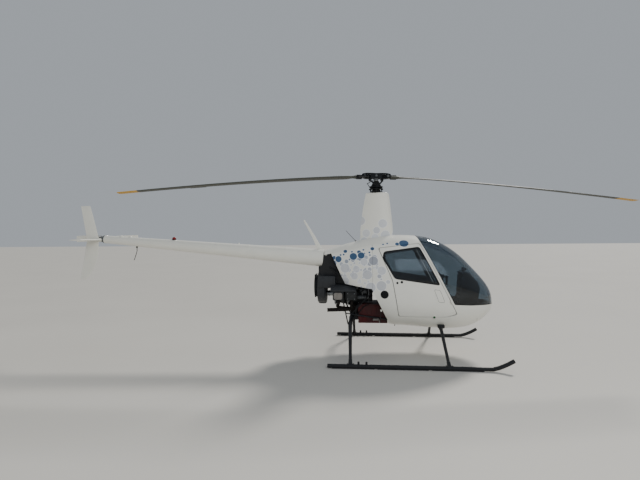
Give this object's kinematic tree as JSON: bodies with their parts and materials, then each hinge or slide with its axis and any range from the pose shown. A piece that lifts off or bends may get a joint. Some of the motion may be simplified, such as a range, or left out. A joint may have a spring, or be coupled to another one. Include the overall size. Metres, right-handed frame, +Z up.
{
  "type": "two-seat light helicopter",
  "caption": "Light helicopter on skids, with a bubble cabin, side doors, open engine bay, mast fairing, slim tail boom, teetering main rotor and side tail rotor.",
  "frame": {"origin": "on the ground under the skids, at the middle of the craft's length and width", "axes": "+X to the nose, +Y to the craft's left side, +Z up"},
  "size_m": [8.7484, 1.982, 2.6448],
  "materials": {
    "white_paint": "glossy warm white enamel",
    "black_paint": "satin black enamel",
    "tinted_glass": "thin tinted acrylic",
    "bare_steel": "machined steel",
    "dark_metal": "dark cast and forged metal",
    "alloy": "bare sheet and cast aluminium",
    "seat_cover": "dark padded leather",
    "cabin_panel": "matt light grey",
    "floor_cover": "dark ribbed carpet",
    "console_cover": "matt black moulded plastic",
    "red_primer": "dull dark red",
    "fan_housing": "dark grey glass-fibre",
    "belt_rubber": "ribbed black rubber",
    "pipe": "heat-blackened steel",
    "blade_paint": "matt dark grey-olive",
    "red_lamp": "red lamp glass"
  },
  "bodies": {
    "airframe": {"cabin_shell": "white_paint", "roof_fairing": "white_paint", "cowl_left": "white_paint", "cowl_right": "white_paint", "windshield_left": "tinted_glass", "windshield_right": "tinted_glass", "windshield_bow": "black_paint", "firewall": "alloy", "cabin_floor": "floor_cover", "seat_base": "cabin_panel", "seat_left": "seat_cover", "seat_right": "seat_cover", "instrument_console": "console_cover", "cyclic_stick": "black_paint", "pedals_right": "dark_metal", "pedals_left": "dark_metal", "collective_right": "black_paint", "collective_left": "black_paint", "mast_fairing": "white_paint", "mast_tube": "black_paint", "main_gearbox": "dark_metal", "swashplate": "dark_metal", "engine": "dark_metal", "lower_baffle": "red_primer", "exhaust": "pipe", "lower_sheave": "bare_steel", "clutch_shaft": "bare_steel", "drive_belts": "belt_rubber", "fan_scroll": "fan_housing", "engine_frame": "black_paint", "skid_left": "black_paint", "skid_right": "black_paint", "front_cross_tube": "black_paint", "rear_cross_tube": "black_paint", "tail_boom": "white_paint", "tail_gearbox": "alloy", "empennage_bracket": "white_paint", "fin_upper": "white_paint", "fin_lower": "white_paint", "stabiliser": "white_paint", "blade_aerial": "white_paint", "strobe_lamp": "red_lamp", "whip_aerial": "white_paint", "roof_whip": "black_paint"},
    "door_left": {"door_left": "white_paint", "door_glass_left": "tinted_glass"},
    "door_right": {"door_right": "white_paint", "door_glass_right": "tinted_glass"},
    "main_rotor": {"rotor_shaft": "bare_steel", "pitch_ring": "dark_metal"},
    "rotor_head": {"rotor_hub": "black_paint", "blade_a": "blade_paint", "blade_b": "blade_paint"},
    "tail_rotor": {"tail_rotor_hub": "dark_metal", "tail_blade_a": "white_paint", "tail_blade_b": "white_paint"}
  },
  "joints": [
    {"name": "door_left_swing", "type": "hinge", "parent": "airframe", "child": "door_left", "pos_m": [1.4536, 0.552, 0.9733], "axis": [0.4528, 0, -0.8916], "range_deg": [0, 62]},
    {"name": "door_right_swing", "type": "hinge", "parent": "airframe", "child": "door_right", "pos_m": [1.4536, -0.552, 0.9733], "axis": [-0.4528, 0, 0.8916], "range_deg": [0, 62]},
    {"name": "main_rotor_spin", "type": "hinge", "parent": "airframe", "child": "main_rotor", "pos_m": [0.555, 0, 2.6], "axis": [0, 0, 1], "continuous": true},
    {"name": "rotor_teeter", "type": "hinge", "parent": "main_rotor", "child": "rotor_head", "pos_m": [0.555, 0, 2.598], "axis": [-0.1045, 0.9945, 0], "range_deg": [-6.3, 3.7]},
    {"name": "tail_rotor_spin", "type": "hinge", "parent": "airframe", "child": "tail_rotor", "pos_m": [-3.839, 0.235, 1.7], "axis": [0, 1, 0], "continuous": true}
  ],
  "couplings": [
    {"joint": "tail_rotor_spin", "follows": "main_rotor_spin", "ratio": -6.409}
  ]
}
